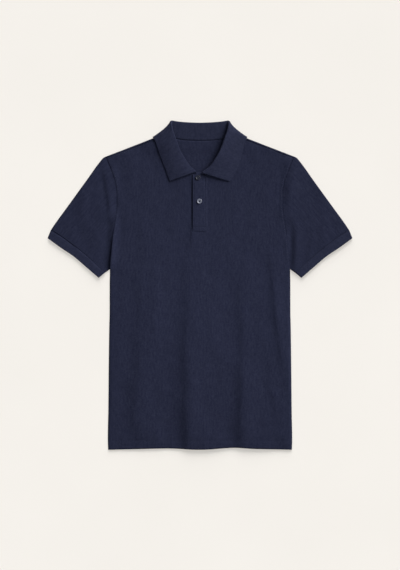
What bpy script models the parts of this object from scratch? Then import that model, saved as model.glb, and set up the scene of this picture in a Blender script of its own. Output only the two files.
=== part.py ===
"""Short-sleeved polo shirt, laid flat on its back with the top button done up.

Metres, +Z up. The shirt lies in the XY plane with its underside on z = 0. +Y points from the hem to
the collar and +X to the wearer's left. The origin is the middle of the outline, on the surface that
the shirt lies on. Every cloth piece is a wall, lofted as an open surface through worked-out rows.
"""

import math

import bmesh
import bpy
import numpy as np

# ---- driving dimensions -------------------------------------------------------------------------

WALL = 0.0012            # pique of the body and sleeves
RIB_WALL = 0.0014        # ribbed knit of the cuffs
GAP = 0.0003             # between neighbouring pieces
LOFT = 0.0054            # top of the front panel above the surface, where no fold crosses it
FOLD_RADIUS = LOFT / 2   # cloth rolled over at a shoulder or along a sleeve

UNDERARM_Y = 0.038
SHOULDER_TIP = (0.2170, 0.2993)     # where the armhole seam meets the outline
SHOULDER_NECK = (0.0780, 0.3530)    # high point of the shoulder, under the collar
SHOULDER_SEAM_INSET = 0.0040        # the back panel rolls this far over the shoulder
SIDE_ROLL = 0.0070                  # width over which the front rolls down to the side seam
SIDE_SEAM = 0.0021                  # height of the front's outer face at the side seam
NECK_SHARE = 0.36                   # share of the half width that the neckline takes

COLLAR_WALL = 0.0012
BACK_FALL_LIFT = COLLAR_WALL + GAP + 0.0001   # the back panel lies over the back of the collar

PLACKET_LEFT = -0.0178
PLACKET_RIGHT = 0.0165
PLACKET_FOOT = 0.1245
PLACKET_BOX = 0.0112                # height of the stitched box at the placket's foot
SLOT_SHARE = 0.038                  # half width of the slot under the placket, as a share
SLOT_FOOT_ROW = 5                   # row of the upper body where the slot starts

BUTTON_DIAMETER = 0.0115
BUTTON_HEIGHT = 0.0024
BUTTON_DISH = 0.0006
BUTTON_HOLE = 0.0016
BUTTON_HOLE_SPACING = 0.0027
BUTTONS = {"button_top": (-0.0046, 0.2498), "button_middle": (-0.0014, 0.1950)}

FRONT_LOWER_ROWS = 9                # rows of a panel from the hem to the underarm
BACK_LOWER_ROWS = 5
UPPER_ROWS = 10                     # and from there to the neckline and shoulders
NECK_COLUMNS = 6                    # between the centre and each high point of the shoulder
SHOULDER_COLUMNS = 3
ROLL_COLUMNS = (0.0, 0.10, 0.38, 1.0)   # shares of the width that rolls down to the side seam

# Half width of the body from the hem to the underarm.
SIDE = {
    "y": (-0.3810, -0.3580, -0.2900, -0.1970, -0.1040, -0.0570, 0.0010, UNDERARM_Y),
    "half": (0.2130, 0.2138, 0.2126, 0.2117, 0.2105, 0.2095, 0.2094, 0.2085),
}

# Armhole seam from the underarm to the shoulder.
ARMHOLE = {
    "y": (UNDERARM_Y, 0.0780, 0.1170, 0.1500, 0.1850, 0.2130, 0.2420, 0.2640, 0.2850, 0.2993),
    "x": (0.2085, 0.2047, 0.2007, 0.1955, 0.1916, 0.1914, 0.1955, 0.2035, 0.2115, 0.2170),
}

# The hem waves a little.
HEM = {
    "x": (-0.2130, -0.1600, -0.0750, 0.0000, 0.0850, 0.1250, 0.2130),
    "y": (-0.3812, -0.3803, -0.3786, -0.3820, -0.3777, -0.3800, -0.3811),
}
BACK_HEM_SHORTER = 0.0015

# Necklines from the centre to the high point of the shoulder.
FRONT_NECK = {
    "x": (0.0, 0.0200, 0.0380, 0.0540, 0.0660, 0.0740, 0.0780),
    "y": (0.2560, 0.2585, 0.2670, 0.2840, 0.3060, 0.3300, 0.3530),
}
BACK_NECK = {
    "x": (0.0, 0.0250, 0.0510, 0.0680, 0.0780),
    "y": (0.3352, 0.3360, 0.3390, 0.3455, 0.3530),
}

# Soft folds of the front panel: a line from one end to the other, half width, height.
FRONT_FOLDS = (
    {"start": (-0.022, -0.090), "end": (-0.022, -0.380), "half": 0.024, "height": 0.0020},
    {"start": (-0.062, -0.120), "end": (-0.064, -0.380), "half": 0.026, "height": -0.0016},
    {"start": (0.110, -0.060), "end": (0.109, -0.380), "half": 0.022, "height": 0.0018},
    {"start": (-0.120, 0.020), "end": (-0.132, -0.280), "half": 0.026, "height": 0.0012},
    {"start": (0.170, 0.030), "end": (0.184, -0.150), "half": 0.016, "height": 0.0012},
)
FOLD_FADE = 0.060                   # length over which a fold dies away at each end
HEM_DROP = 0.0014                   # the front comes down to the back at the hem
NECK_RISE = 0.0006                  # and stands a little higher round the neck

# Sleeve edges: the rolled upper edge from the shoulder to the cuff, and the cuff's two edges.
SLEEVE_EDGE = {
    "x": (0.2170, 0.2232, 0.2295, 0.2650, 0.3010, 0.3370, 0.3460),
    "y": (0.2993, 0.2966, 0.2899, 0.2409, 0.1912, 0.1415, 0.1280),
}
CUFF_SEAM = {
    "x": (0.3460, 0.3248, 0.3016, 0.2784, 0.2552, 0.2320, 0.2205),
    "y": (0.1280, 0.1148, 0.0985, 0.0811, 0.0614, 0.0394, 0.0295),
}
CUFF_EDGE = {
    "x": (0.3533, 0.3240, 0.2928, 0.2640, 0.2348),
    "y": (0.1097, 0.0884, 0.0672, 0.0428, 0.0176),
}
SLEEVE_ROWS = (0.0, 0.04, 0.10, 0.20, 0.36, 0.55, 0.78, 1.0)
CUFF_ROWS = (0.0, 0.5, 1.0)
ROLL_ANGLES = (-60.0, -30.0, 0.0, 30.0, 60.0)   # stations round a rolled edge, 0 at its outermost

# The deep crease beside the left armhole, where the sleeve tucks in under the arm.
CREASE = {"start": (-0.212, 0.140), "end": (-0.213, 0.046), "half": 0.007, "height": -0.0022}
CREASE_FADE = 0.030

# Collar sections, from the front end (0) past the shoulder (1) to the middle of the back (2).
# fold: the top of the stand. edge: the free edge of the fall. radius: of the fold itself.
# turn: degrees from lying face up at the front to face down at the back. bulge: of the fall.
COLLAR = {
    "at": (0.0, 0.06, 0.20, 0.34, 0.51, 0.71, 0.86, 0.96, 0.985, 1.0, 1.015, 1.06, 1.30, 1.62, 2.0),
    "fold_x": (1.5, 9.3, 23.2, 34.8, 46.4, 55.7, 62.6, 64.6, 64.0, 62.6, 60.8, 57.0, 44.0, 24.0, 0.0),
    "fold_y": (262.2, 264.4, 277.2, 293.4, 314.3, 339.8, 360.7, 375.0, 378.4, 379.8, 380.2, 380.4,
               379.2, 377.6, 376.8),
    "fold_z": (6.4, 6.9, 8.0, 9.0, 9.7, 10.0, 9.4, 8.0, 7.2, 6.2, 5.8, 5.8, 5.8, 5.8, 5.8),
    "edge_x": (69.0, 72.2, 79.8, 87.2, 93.6, 98.6, 102.4, 105.4, 108.4, 109.6, 108.3, 100.0, 75.0,
               38.0, 0.0),
    "edge_y": (240.8, 246.2, 259.0, 272.0, 288.5, 309.5, 325.0, 336.5, 341.9, 343.6, 341.5, 337.5,
               335.0, 332.6, 332.0),
    "edge_z": (8.2, 8.2, 8.2, 8.3, 8.4, 8.6, 8.9, 9.2, 8.3, 4.3, 0.6, 0.6, 0.6, 0.6, 0.6),
    "radius": (1.5, 1.8, 2.4, 2.9, 3.2, 3.2, 3.0, 2.8, 2.7, 2.6, 2.6, 2.6, 2.6, 2.6, 2.6),
    "turn": (0.0, 0.0, 0.0, 0.0, 0.0, 0.0, 8.0, 35.0, 62.0, 90.0, 118.0, 165.0, 180.0, 180.0, 180.0),
    "bulge": (0.0, 0.03, 0.08, 0.14, 0.22, 0.30, 0.30, 0.30, 0.30, 0.30, 0.30, 0.30, 0.30, 0.30, 0.30),
}
COLLAR_UNITS = {"turn": 1.0, "bulge": 1.0}    # the other columns are in millimetres
TURNING_SECTIONS = (0.93, 0.96, 0.985, 1.015, 1.035, 1.06)
SHOULDER_OUTWARD = (0.68, 0.73, 0.0)
SHOULDER_CLEARANCE = 0.0012         # the stand keeps clear of the rolled shoulder
STAND_POINTS = 4
FOLD_POINTS = 5
FALL_POINTS = 6

NAVY = (0.019, 0.021, 0.040, 1.0)
RIB_NAVY = (0.021, 0.023, 0.043, 1.0)
BUTTON_GREY = (0.13, 0.145, 0.195, 1.0)
BUTTON_NAVY = (0.015, 0.017, 0.029, 1.0)


# ---- curves -------------------------------------------------------------------------------------

def smooth(stations, values, at):
    """Smooth curve through a table's rows that never overshoots them (monotone cubic)."""
    x = np.asarray(stations, float)
    y = np.asarray(values, float)
    at = np.clip(np.asarray(at, float), x[0], x[-1])
    step = np.diff(x)
    slope = np.diff(y) / step
    tangent = np.empty_like(y)
    tangent[0], tangent[-1] = slope[0], slope[-1]
    turning = slope[:-1] * slope[1:] <= 0.0
    safe = np.where(turning, 1.0, slope[:-1] + slope[1:])
    tangent[1:-1] = np.where(turning, 0.0, 2.0 * slope[:-1] * slope[1:] / safe)
    i = np.clip(np.searchsorted(x, at, side="right") - 1, 0, len(step) - 1)
    t = (at - x[i]) / step[i]
    return ((1 + 2 * t) * (1 - t) ** 2 * y[i] + t * (1 - t) ** 2 * step[i] * tangent[i]
            + t ** 2 * (3 - 2 * t) * y[i + 1] + t ** 2 * (t - 1) * step[i] * tangent[i + 1])


def along(curve, share):
    """Points at shares 0..1 of the length of a curve given by its x and y rows."""
    x = np.asarray(curve["x"], float)
    y = np.asarray(curve["y"], float)
    length = np.concatenate(([0.0], np.cumsum(np.hypot(np.diff(x), np.diff(y)))))
    at = np.asarray(share, float) * length[-1]
    return np.stack([smooth(length, x, at), smooth(length, y, at)], axis=-1)


def ramp(low, high, at):
    """0 below low, 1 above high, smooth between."""
    t = np.clip((np.asarray(at, float) - low) / (high - low), 0.0, 1.0)
    return t * t * (3.0 - 2.0 * t)


def fold_height(fold, fade, x, y):
    """Height that one straight soft fold adds at (x, y)."""
    start = np.array(fold["start"])
    run = np.array(fold["end"]) - start
    length = float(np.hypot(*run))
    run /= length
    ahead = (x - start[0]) * run[0] + (y - start[1]) * run[1]
    aside = (x - start[0]) * run[1] - (y - start[1]) * run[0]
    ends = ramp(-fade / 2, fade / 2, ahead) * (1.0 - ramp(length - fade / 2, length + fade / 2, ahead))
    return fold["height"] * np.exp(-((aside / fold["half"]) ** 2)) * ends


# ---- the body's outline and heights -------------------------------------------------------------

def half_width(y):
    return smooth(SIDE["y"], SIDE["half"], y)


def lift(x, y):
    """How far the back of the collar, lying underneath, raises the cloth above it."""
    return BACK_FALL_LIFT * (1.0 - ramp(0.122, 0.165, np.abs(x))) * ramp(0.270, 0.300, y)


def front_top(x, y):
    """Upper face of the front panel, before it rolls down at the side seams."""
    folds = sum(fold_height(fold, FOLD_FADE, x, y) for fold in FRONT_FOLDS)
    hem = HEM_DROP * (1.0 - ramp(-0.380, -0.345, y))
    neck = NECK_RISE * ramp(0.225, 0.260, y) * (1.0 - ramp(0.080, 0.120, np.abs(x)))
    return LOFT + lift(x, y) + folds - hem + neck


def side_roll(x, y):
    """How far the front comes down towards the side seam, as a share of its height there."""
    inset = np.clip((half_width(y) - np.abs(x)) / SIDE_ROLL, 0.0, 1.0)
    return (1.0 - np.sqrt(1.0 - (1.0 - inset) ** 2)) * (1.0 - ramp(0.010, 0.034, y))


def front_surface(x, y):
    top = front_top(x, y)
    return top - (top - SIDE_SEAM) * side_roll(x, y)


def shoulder_inward():
    """Unit vector from the right shoulder's outline into the shirt."""
    run = np.array(SHOULDER_NECK) - np.array(SHOULDER_TIP)
    run /= np.hypot(*run)
    return np.array([run[1] * -1.0, run[0]])


def column_shares():
    """Columns from the left side to the right, as shares -1..1 of the half width."""
    neck = np.linspace(0.0, NECK_SHARE, NECK_COLUMNS + 1)
    neck = np.sort(np.append(neck, SLOT_SHARE))
    roll = 1.0 - np.array(ROLL_COLUMNS) * SIDE_ROLL / half_width(0.0)
    shoulder = np.linspace(NECK_SHARE, 1.0 - 0.05, SHOULDER_COLUMNS + 1)[1:]
    half = np.concatenate([neck, shoulder, roll[::-1]])
    return np.concatenate([-half[:0:-1], half])


def top_edge(shares, neck, inset):
    """Upper boundary of a panel: shoulder, neckline, shoulder. inset moves the shoulders in."""
    move = shoulder_inward() * inset
    tip = np.array(SHOULDER_TIP) + move
    high = np.array(SHOULDER_NECK) + move
    points = []
    for share in shares:
        side = -1.0 if share < 0.0 else 1.0
        size = abs(share)
        if size <= NECK_SHARE:
            x, y = along(neck, size / NECK_SHARE)
            sink = inset * max(0.0, size / NECK_SHARE - 0.85) / 0.15
            x, y = np.array([x, y]) + shoulder_inward() * sink
        else:
            x, y = high + (tip - high) * (size - NECK_SHARE) / (1.0 - NECK_SHARE)
        points.append((side * x, y))
    return np.array(points)


def armhole(rise, inset):
    """Right armhole seam at shares 0..1 of the way up, its top end moved in from the outline."""
    low, high = ARMHOLE["y"][0], ARMHOLE["y"][-1]
    drop = -shoulder_inward()[1] * inset
    y = low + (high - drop - low) * np.asarray(rise, float)
    return np.stack([smooth(ARMHOLE["y"], ARMHOLE["x"], y), y], axis=-1)


def panel_plan(neck, lower_rows, hem_shorter, inset):
    """Plan of a body panel as rows of points, from the hem up to the neckline and shoulders."""
    shares = column_shares()
    foot = smooth(HEM["x"], HEM["y"], shares * SIDE["half"][0]) + hem_shorter
    rows = []
    for step in np.linspace(0.0, 1.0, lower_rows + 1)[:-1]:
        y = foot + (UNDERARM_Y - foot) * step
        rows.append(np.stack([shares * half_width(y), y], axis=-1))
    top = top_edge(shares, neck, inset)
    across = (shares + 1.0) / 2.0
    for rise in np.linspace(0.0, 1.0, UPPER_ROWS + 1):
        side_x, side_y = armhole(rise, inset)
        base = np.stack([shares * SIDE["half"][-1], np.full_like(shares, UNDERARM_Y)], axis=-1)
        sides = np.stack([shares * side_x, np.full_like(shares, side_y)], axis=-1)
        ruled = base + (top - base) * rise
        straight_top = top[0] + (top[-1] - top[0]) * across[:, None]
        straight = base + (straight_top - base) * rise
        rows.append(ruled + sides - straight)
    return np.array(rows)


# ---- building blocks ----------------------------------------------------------------------------

def clear_scene():
    for item in list(bpy.data.objects):
        bpy.data.objects.remove(item, do_unlink=True)


def new_collection(name):
    collection = bpy.data.collections.new(name)
    bpy.context.scene.collection.children.link(collection)
    return collection


def material(name, colour, roughness, sheen):
    made = bpy.data.materials.new(name)
    made.use_nodes = True
    shader = made.node_tree.nodes["Principled BSDF"]
    shader.inputs["Base Color"].default_value = colour
    shader.inputs["Roughness"].default_value = roughness
    shader.inputs["Metallic"].default_value = 0.0
    shader.inputs["Sheen Weight"].default_value = sheen
    made.diffuse_color = colour
    return made


def loft(name, rows, keep=None, ring=False, flip=False):
    """Object whose mesh is an open surface through rows of points; keep(r, c) skips faces."""
    rows = np.asarray(rows, float)
    count, width = rows.shape[:2]
    mesh = bmesh.new()
    verts = [[mesh.verts.new(point) for point in row] for row in rows]
    for r in range(count - 1):
        for c in range(width if ring else width - 1):
            if keep is not None and not keep(r, c):
                continue
            n = (c + 1) % width
            corners = [verts[r][c], verts[r][n], verts[r + 1][n], verts[r + 1][c]]
            mesh.faces.new(corners[::-1] if flip else corners)
    loose = [vert for vert in mesh.verts if not vert.link_faces]
    bmesh.ops.delete(mesh, geom=loose, context="VERTS")
    data = bpy.data.meshes.new(name)
    mesh.to_mesh(data)
    mesh.free()
    data.shade_smooth()
    return bpy.data.objects.new(name, data)


def wall(piece, thickness, offset):
    """Gives an open surface its thickness. offset -1 keeps it as the outer face, 0 as the middle."""
    solidify = piece.modifiers.new("wall", "SOLIDIFY")
    solidify.thickness = thickness
    solidify.offset = offset
    solidify.use_even_offset = False
    solidify.use_quality_normals = True


def finish_piece(piece, collection, finish):
    collection.objects.link(piece)
    piece.data.materials.append(finish)
    return piece


# ---- body panels --------------------------------------------------------------------------------

def make_front(collection, finish):
    plan = panel_plan(FRONT_NECK, FRONT_LOWER_ROWS, 0.0, SHOULDER_SEAM_INSET + GAP)
    shares = column_shares()
    z = front_surface(plan[..., 0], plan[..., 1])
    slot_row = FRONT_LOWER_ROWS + SLOT_FOOT_ROW

    def keep(r, c):
        middle = (shares[c] + shares[c + 1]) / 2.0
        return r < slot_row or abs(middle) > SLOT_SHARE

    piece = loft("front", np.dstack([plan, z]), keep=keep)
    wall(piece, WALL, -1.0)
    return finish_piece(piece, collection, finish)


def make_under_placket(collection, finish):
    """Lies in the slot of the front panel, level with it, under the placket."""
    plan = panel_plan(FRONT_NECK, FRONT_LOWER_ROWS, 0.0, SHOULDER_SEAM_INSET + GAP)
    inside = np.flatnonzero(np.abs(column_shares()) <= SLOT_SHARE + 1e-6)
    rows = plan[FRONT_LOWER_ROWS + SLOT_FOOT_ROW:, inside].copy()
    middle = rows[:, :, 0].mean(axis=1, keepdims=True)
    reach = np.abs(rows[:, :1, 0] - middle)
    rows[:, :, 0] = middle + (rows[:, :, 0] - middle) * (reach - GAP) / reach
    rows[0, :, 1] += GAP
    z = front_surface(rows[..., 0], rows[..., 1])
    piece = loft("under_placket", np.dstack([rows, z]))
    wall(piece, WALL, -1.0)
    return finish_piece(piece, collection, finish)


def make_placket(collection, finish):
    """Lies on the front panel, over the slot, from the neckline to the stitched box."""
    across = np.linspace(PLACKET_LEFT, PLACKET_RIGHT, 7)
    neck = smooth(FRONT_NECK["x"], FRONT_NECK["y"], np.abs(across)) - GAP
    box = PLACKET_BOX / (FRONT_NECK["y"][0] - PLACKET_FOOT)
    steps = np.concatenate([[0.0], np.linspace(box, 1.0, 6)])
    rows = []
    for step in steps:
        y = PLACKET_FOOT + (neck - PLACKET_FOOT) * step
        z = front_surface(across, y) + GAP + WALL
        rows.append(np.stack([across, y, z], axis=-1))
    piece = loft("placket", rows)
    wall(piece, WALL, -1.0)
    return finish_piece(piece, collection, finish)


def make_back(collection, finish):
    """Flat underneath. Its shoulders roll up and over to meet the front panel."""
    plan = panel_plan(BACK_NECK, BACK_LOWER_ROWS, BACK_HEM_SHORTER, FOLD_RADIUS)
    shares = column_shares()
    rows = [np.column_stack([row, lift(row[:, 0], row[:, 1])]) for row in plan]
    outline = top_edge(shares, BACK_NECK, 0.0)
    inward = shoulder_inward()
    move = np.stack([np.sign(shares) * inward[0], np.full_like(shares, inward[1])], axis=-1)
    roll = [(FOLD_RADIUS * (1 - math.cos(turn)), FOLD_RADIUS * (1 + math.sin(turn)))
            for turn in np.radians(ROLL_ANGLES + (90.0,))]
    roll.append((SHOULDER_SEAM_INSET, 2 * FOLD_RADIUS))
    for inset, height in roll:
        row = outline + move * inset
        rows.append(np.column_stack([row, lift(row[:, 0], row[:, 1]) + height]))
    panel_rows = len(plan)

    def keep(r, c):
        middle = abs(shares[c] + shares[c + 1]) / 2.0
        return r < panel_rows - 1 or middle > NECK_SHARE

    piece = loft("back", rows, keep=keep, flip=True)
    wall(piece, WALL, -1.0)
    return finish_piece(piece, collection, finish)


# ---- sleeves and cuffs --------------------------------------------------------------------------

def ring_stations():
    """Once round a flattened tube: (share across it, angle round its rolled edge)."""
    across = np.linspace(0.0, 1.0, UPPER_ROWS + 1)[1:-1]
    outer = [(0.0, angle) for angle in ROLL_ANGLES]
    upper = [(share, 90.0) for share in across]
    inner = [(1.0, angle) for angle in ROLL_ANGLES[::-1]]
    lower = [(share, -90.0) for share in across[::-1]]
    return outer + upper + inner + lower


def tube_rows(plan, shares, height):
    """Rings of a flattened tube. plan(across, along) gives the plan, height(x, y) its top."""
    rows = []
    for v in shares:
        outer, inner = plan(0.0, v), plan(1.0, v)
        reach = np.hypot(*(inner - outer))
        ring = []
        for across, angle in ring_stations():
            inset = FOLD_RADIUS * (1.0 - math.cos(math.radians(angle))) / reach
            x, y = plan(np.clip(across, inset, 1.0 - inset), v)
            z = height(x, y) / 2.0 * (1.0 + math.sin(math.radians(angle)))
            ring.append((x, y, z))
        rows.append(ring)
    return rows


def sleeve_plan(across, v):
    """Right sleeve: across from the upper edge to the underarm, v from the armhole to the cuff."""
    seam = armhole(1.0 - across, 0.0) + np.array([GAP, 0.0])
    end = along(CUFF_SEAM, across)
    upper = along(SLEEVE_EDGE, v) + np.array([GAP, 0.0]) * (1.0 - v)
    start_low, end_low = armhole(0.0, 0.0) + np.array([GAP, 0.0]), along(CUFF_SEAM, 1.0)
    lower = start_low + (end_low - start_low) * v
    start_up, end_up = along(SLEEVE_EDGE, 0.0) + np.array([GAP, 0.0]), along(SLEEVE_EDGE, 1.0)
    ruled = seam + (end - seam) * v
    edges = upper + (lower - upper) * across
    corners_up = start_up + (end_up - start_up) * v
    corners = corners_up + (lower - corners_up) * across
    return ruled + edges - corners


def cuff_plan(across, v):
    seam = along(CUFF_SEAM, across)
    end = along(CUFF_EDGE, across)
    run = (end - seam) / np.hypot(*(end - seam))
    start = seam + run * GAP
    return start + (end - start) * v


def mirrored(plan, side):
    def moved(across, v):
        return plan(across, v) * np.array([side, 1.0])
    return moved


def make_sleeve(name, side, collection, finish):
    def height(x, y):
        crease = fold_height(CREASE, CREASE_FADE, x, y) if side < 0 else 0.0
        return LOFT + crease

    rows = tube_rows(mirrored(sleeve_plan, side), SLEEVE_ROWS, height)
    piece = loft(name, rows, ring=True, flip=side < 0)
    wall(piece, WALL, -1.0)
    return finish_piece(piece, collection, finish)


def make_cuff(name, side, collection, finish):
    rows = tube_rows(mirrored(cuff_plan, side), CUFF_ROWS, lambda x, y: LOFT)
    piece = loft(name, rows, ring=True, flip=side < 0)
    wall(piece, RIB_WALL, -1.0)
    return finish_piece(piece, collection, finish)


# ---- collar -------------------------------------------------------------------------------------

def collar_column(name, at):
    return float(smooth(COLLAR["at"], COLLAR[name], at)) * COLLAR_UNITS.get(name, 0.001)


def collar_stations():
    """One section at each column of the necklines, and more where the collar turns over."""
    neck = np.linspace(0.0, 1.0, NECK_COLUMNS + 1)
    neck = np.append(neck, SLOT_SHARE / NECK_SHARE)
    return np.sort(np.concatenate([neck, 2.0 - neck[neck < 1.0], TURNING_SECTIONS]))


def neck_inward(at):
    """Unit vector in plan from the neckline into the neck opening."""
    curve, share = (FRONT_NECK, at) if at <= 1.0 else (BACK_NECK, 2.0 - at)
    low, high = along(curve, max(share - 0.02, 0.0)), along(curve, min(share + 0.02, 1.0))
    run = (high - low) / np.hypot(*(high - low))
    return np.array([-run[1], run[0], 0.0])


def seam_point(at):
    """Where the stand is sewn to the body, on the right half."""
    if at <= 1.0:
        x, y = along(FRONT_NECK, at)
        front_z = float(front_surface(x, y)) - WALL / 2.0
        back_z = float(lift(x, y)) + WALL / 2.0
        z = front_z + (back_z - front_z) * 0.5 * float(ramp(0.93, 1.0, at))
    else:
        x, y = along(BACK_NECK, 2.0 - at)
        high = (front_surface(x, y) + lift(x, y)) / 2.0
        z = float(lift(x, y)) + WALL / 2.0
        z += (float(high) - z) * (1.0 - float(ramp(1.0, 1.06, at)))
    clear = SHOULDER_CLEARANCE * float(ramp(0.80, 0.95, at) * (1.0 - ramp(1.02, 1.15, at)))
    return np.array([x - clear, y, z]) + neck_inward(at) * 2.0 * GAP


def collar_section(at):
    """Points across the collar at one place: seam, stand, fold, fall, free edge."""
    seam = seam_point(at)
    fold = np.array([collar_column(f"fold_{axis}", at) for axis in "xyz"])
    edge = np.array([collar_column(f"edge_{axis}", at) for axis in "xyz"])
    radius = collar_column("radius", at)
    turn = math.radians(collar_column("turn", at))
    up = (fold - seam) / np.linalg.norm(fold - seam)
    outward = np.array(SHOULDER_OUTWARD) * math.sin(turn) + np.array([0.0, 0.0, math.cos(turn)])
    outward -= up * outward.dot(up)
    outward /= np.linalg.norm(outward)
    bend = fold - up * radius
    points = [seam + (bend - seam) * t for t in np.linspace(0.0, 1.0, STAND_POINTS)]
    centre = bend + outward * radius
    for turn_at in np.linspace(0.0, math.pi, FOLD_POINTS)[1:]:
        points.append(centre - outward * radius * math.cos(turn_at) + up * radius * math.sin(turn_at))
    fall = points[-1]
    handle = fall - up * collar_column("bulge", at) * np.linalg.norm(edge - fall)
    for t in np.linspace(0.0, 1.0, FALL_POINTS)[1:]:
        points.append((1 - t) ** 2 * fall + 2 * t * (1 - t) * handle + t * t * edge)
    return [np.array([x, y, max(z, COLLAR_WALL / 2.0)]) for x, y, z in points]


def make_collar(collection, finish):
    right = [collar_section(at) for at in collar_stations()]
    flip = np.array([-1.0, 1.0, 1.0])
    left = [[point * flip for point in section] for section in right[:-1]]
    rows = left + right[::-1]
    piece = loft("collar", rows)
    wall(piece, COLLAR_WALL, 0.0)
    return finish_piece(piece, collection, finish)


# ---- buttons ------------------------------------------------------------------------------------

def cylinder(name, radius, height, place, segments):
    bpy.ops.mesh.primitive_cylinder_add(vertices=segments, radius=radius, depth=height, location=place)
    piece = bpy.context.object
    piece.name = name
    for collection in list(piece.users_collection):
        collection.objects.unlink(piece)
    return piece


def make_button(name, place, collection, cutters, finish):
    x, y = place
    foot = float(front_surface(np.array(x), np.array(y))) + WALL + 2 * GAP
    button = cylinder(name, BUTTON_DIAMETER / 2, BUTTON_HEIGHT, (x, y, foot + BUTTON_HEIGHT / 2), 32)
    finish_piece(button, collection, finish)
    rim = button.modifiers.new("rim", "BEVEL")
    rim.width = 0.0005
    rim.segments = 2
    dish_place = (x, y, foot + BUTTON_HEIGHT)
    dish = cylinder(name + "_dish", BUTTON_DIAMETER * 0.33, 2 * BUTTON_DISH, dish_place, 32)
    holes = [dish]
    for step_x in (-0.5, 0.5):
        for step_y in (-0.5, 0.5):
            hole_x = x + step_x * BUTTON_HOLE_SPACING
            hole_y = y + step_y * BUTTON_HOLE_SPACING
            hole_place = (hole_x, hole_y, foot + BUTTON_HEIGHT / 2)
            hole_name = f"{name}_hole_{len(holes)}"
            holes.append(cylinder(hole_name, BUTTON_HOLE / 2, BUTTON_HEIGHT * 2, hole_place, 12))
    for hole in holes:
        cutters.objects.link(hole)
        hole.hide_render = True
        hole.display_type = "WIRE"
        cut = button.modifiers.new("cut", "BOOLEAN")
        cut.operation = "DIFFERENCE"
        cut.object = hole
    return button


# ---- the shirt ----------------------------------------------------------------------------------

def main():
    clear_scene()
    shirt = new_collection("polo_shirt")
    cutters = new_collection("polo_shirt_cutters")
    pique = material("navy_pique", NAVY, 0.85, 0.25)
    rib = material("navy_rib", RIB_NAVY, 0.85, 0.25)
    resins = {
        "button_top": material("navy_resin", BUTTON_NAVY, 0.35, 0.0),
        "button_middle": material("grey_resin", BUTTON_GREY, 0.35, 0.0),
    }
    make_back(shirt, pique)
    make_front(shirt, pique)
    make_under_placket(shirt, pique)
    make_placket(shirt, pique)
    for name, side in (("left", -1.0), ("right", 1.0)):
        make_sleeve("sleeve_" + name, side, shirt, pique)
        make_cuff("cuff_" + name, side, shirt, rib)
    make_collar(shirt, rib)
    for name, place in BUTTONS.items():
        make_button(name, place, shirt, cutters, resins[name])


main()
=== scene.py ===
"""Looks of the short-sleeved polo shirt, laid flat on its back. Metres, +Z up."""

import math

import bpy
import numpy as np
from mathutils import Matrix, Quaternion, Vector
from numpy.linalg import norm


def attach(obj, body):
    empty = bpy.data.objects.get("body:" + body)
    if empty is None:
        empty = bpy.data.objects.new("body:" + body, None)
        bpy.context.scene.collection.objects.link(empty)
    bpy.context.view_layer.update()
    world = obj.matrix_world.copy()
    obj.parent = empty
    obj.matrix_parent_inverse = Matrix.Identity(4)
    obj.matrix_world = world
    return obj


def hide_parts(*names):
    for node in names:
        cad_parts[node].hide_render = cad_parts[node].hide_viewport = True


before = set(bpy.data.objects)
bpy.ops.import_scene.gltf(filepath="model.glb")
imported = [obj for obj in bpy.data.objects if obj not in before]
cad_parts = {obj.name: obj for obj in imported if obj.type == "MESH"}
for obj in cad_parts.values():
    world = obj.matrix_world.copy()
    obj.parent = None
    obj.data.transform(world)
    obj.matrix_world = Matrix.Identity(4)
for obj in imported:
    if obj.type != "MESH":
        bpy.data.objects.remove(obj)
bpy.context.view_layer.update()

# ---- sizes ----

MM = 0.001  # the tables of folds, collar and button are in mm
SHELL = 0.001  # thickness of the cloth shells
RIB_SHELL = 0.0012
BACK_TOP = 0.0012  # upper face of the back panel
LOFT = 0.0054  # top of the sleeves and cuffs
VALLEY = 0.0042  # top of the front panel between its folds
LOWEST_TOP = 0.0029  # least height of the front panel's top
FOLD_RADIUS = LOFT / 2

UNDERARM_Y = 0.038
SHOULDER_TIP = (0.217, 0.2993)
SHOULDER_NECK = (0.078, 0.353)
SEAM_INSET = 0.004  # from the shoulders' outline in to their seams
SIDE_ROLL = 0.008
SIDE_SEAM = 0.0019  # height of the front's side edges
NECK_SHARE = 0.36  # share of a panel's columns that end at the neckline
FALL_LIFT = 0.0016  # the back lies over the back of the collar

# The placket's upper band.
BAND_LEFT = -0.0176
BAND_RIGHT = 0.0168
BAND_FOOT = 0.1245
BAND_TOP = 0.2625
BAND_ROWS = (BAND_FOOT + 0.0018, BAND_FOOT + 0.0112)  # stitched across, to make a box
BAND_SINK = 0.0012  # its top end lies low in the collar
BAND_STITCHING = (-0.0146, 0.012)
BAND_SHELL = 0.0015
BAND_FLUSH = 0.0008  # height of its sewn edge above the front
BAND_PROUD = 0.0027  # height of its open edge
BAND_EDGE = (0.0011, 0.0009)  # its rounded rim: how wide, how deep
UNDER_HALF = 0.0136  # the under band
UNDER_TOP = 0.254
UNDER_TUCK = 0.002  # how far it runs on below the slot
SLIT_X = -0.0186  # a dark slit beside the open edge
SLIT_DEPTH = 0.0028
SLIT_WIDTH = 0.0011
SLOT_SHARE = 0.038  # share that ends at the slot under the placket
SLOT_FOOT = 0.1475

FRONT_CLIMB = (0.0, 0.12)  # between these heights the valleys rise half way to the loft
NECK_PLUMP = 0.0006  # the collar's seam holds the front up round the neck
HEM_SINK = 0.0008  # the front comes down towards the hem
HEM_LINE_Y = -0.3612  # upper edge of the hem's turning
HEM_STEP = 0.0004  # how much the turning thickens it
HEM_DEPTH = 0.02
HEM_ROWS = (0.0009, 0.004)  # the two rows of stitching, below the turning's edge
HEM_STITCH_SINK = 0.00014
GROOVE_DEPTH = 0.0007
GROOVE_WIDTH = 0.0022
SHOULDER_STITCHING = 0.003  # from the seam to the row of stitching beside it
ARMHOLE_STITCHING = 0.0032

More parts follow.
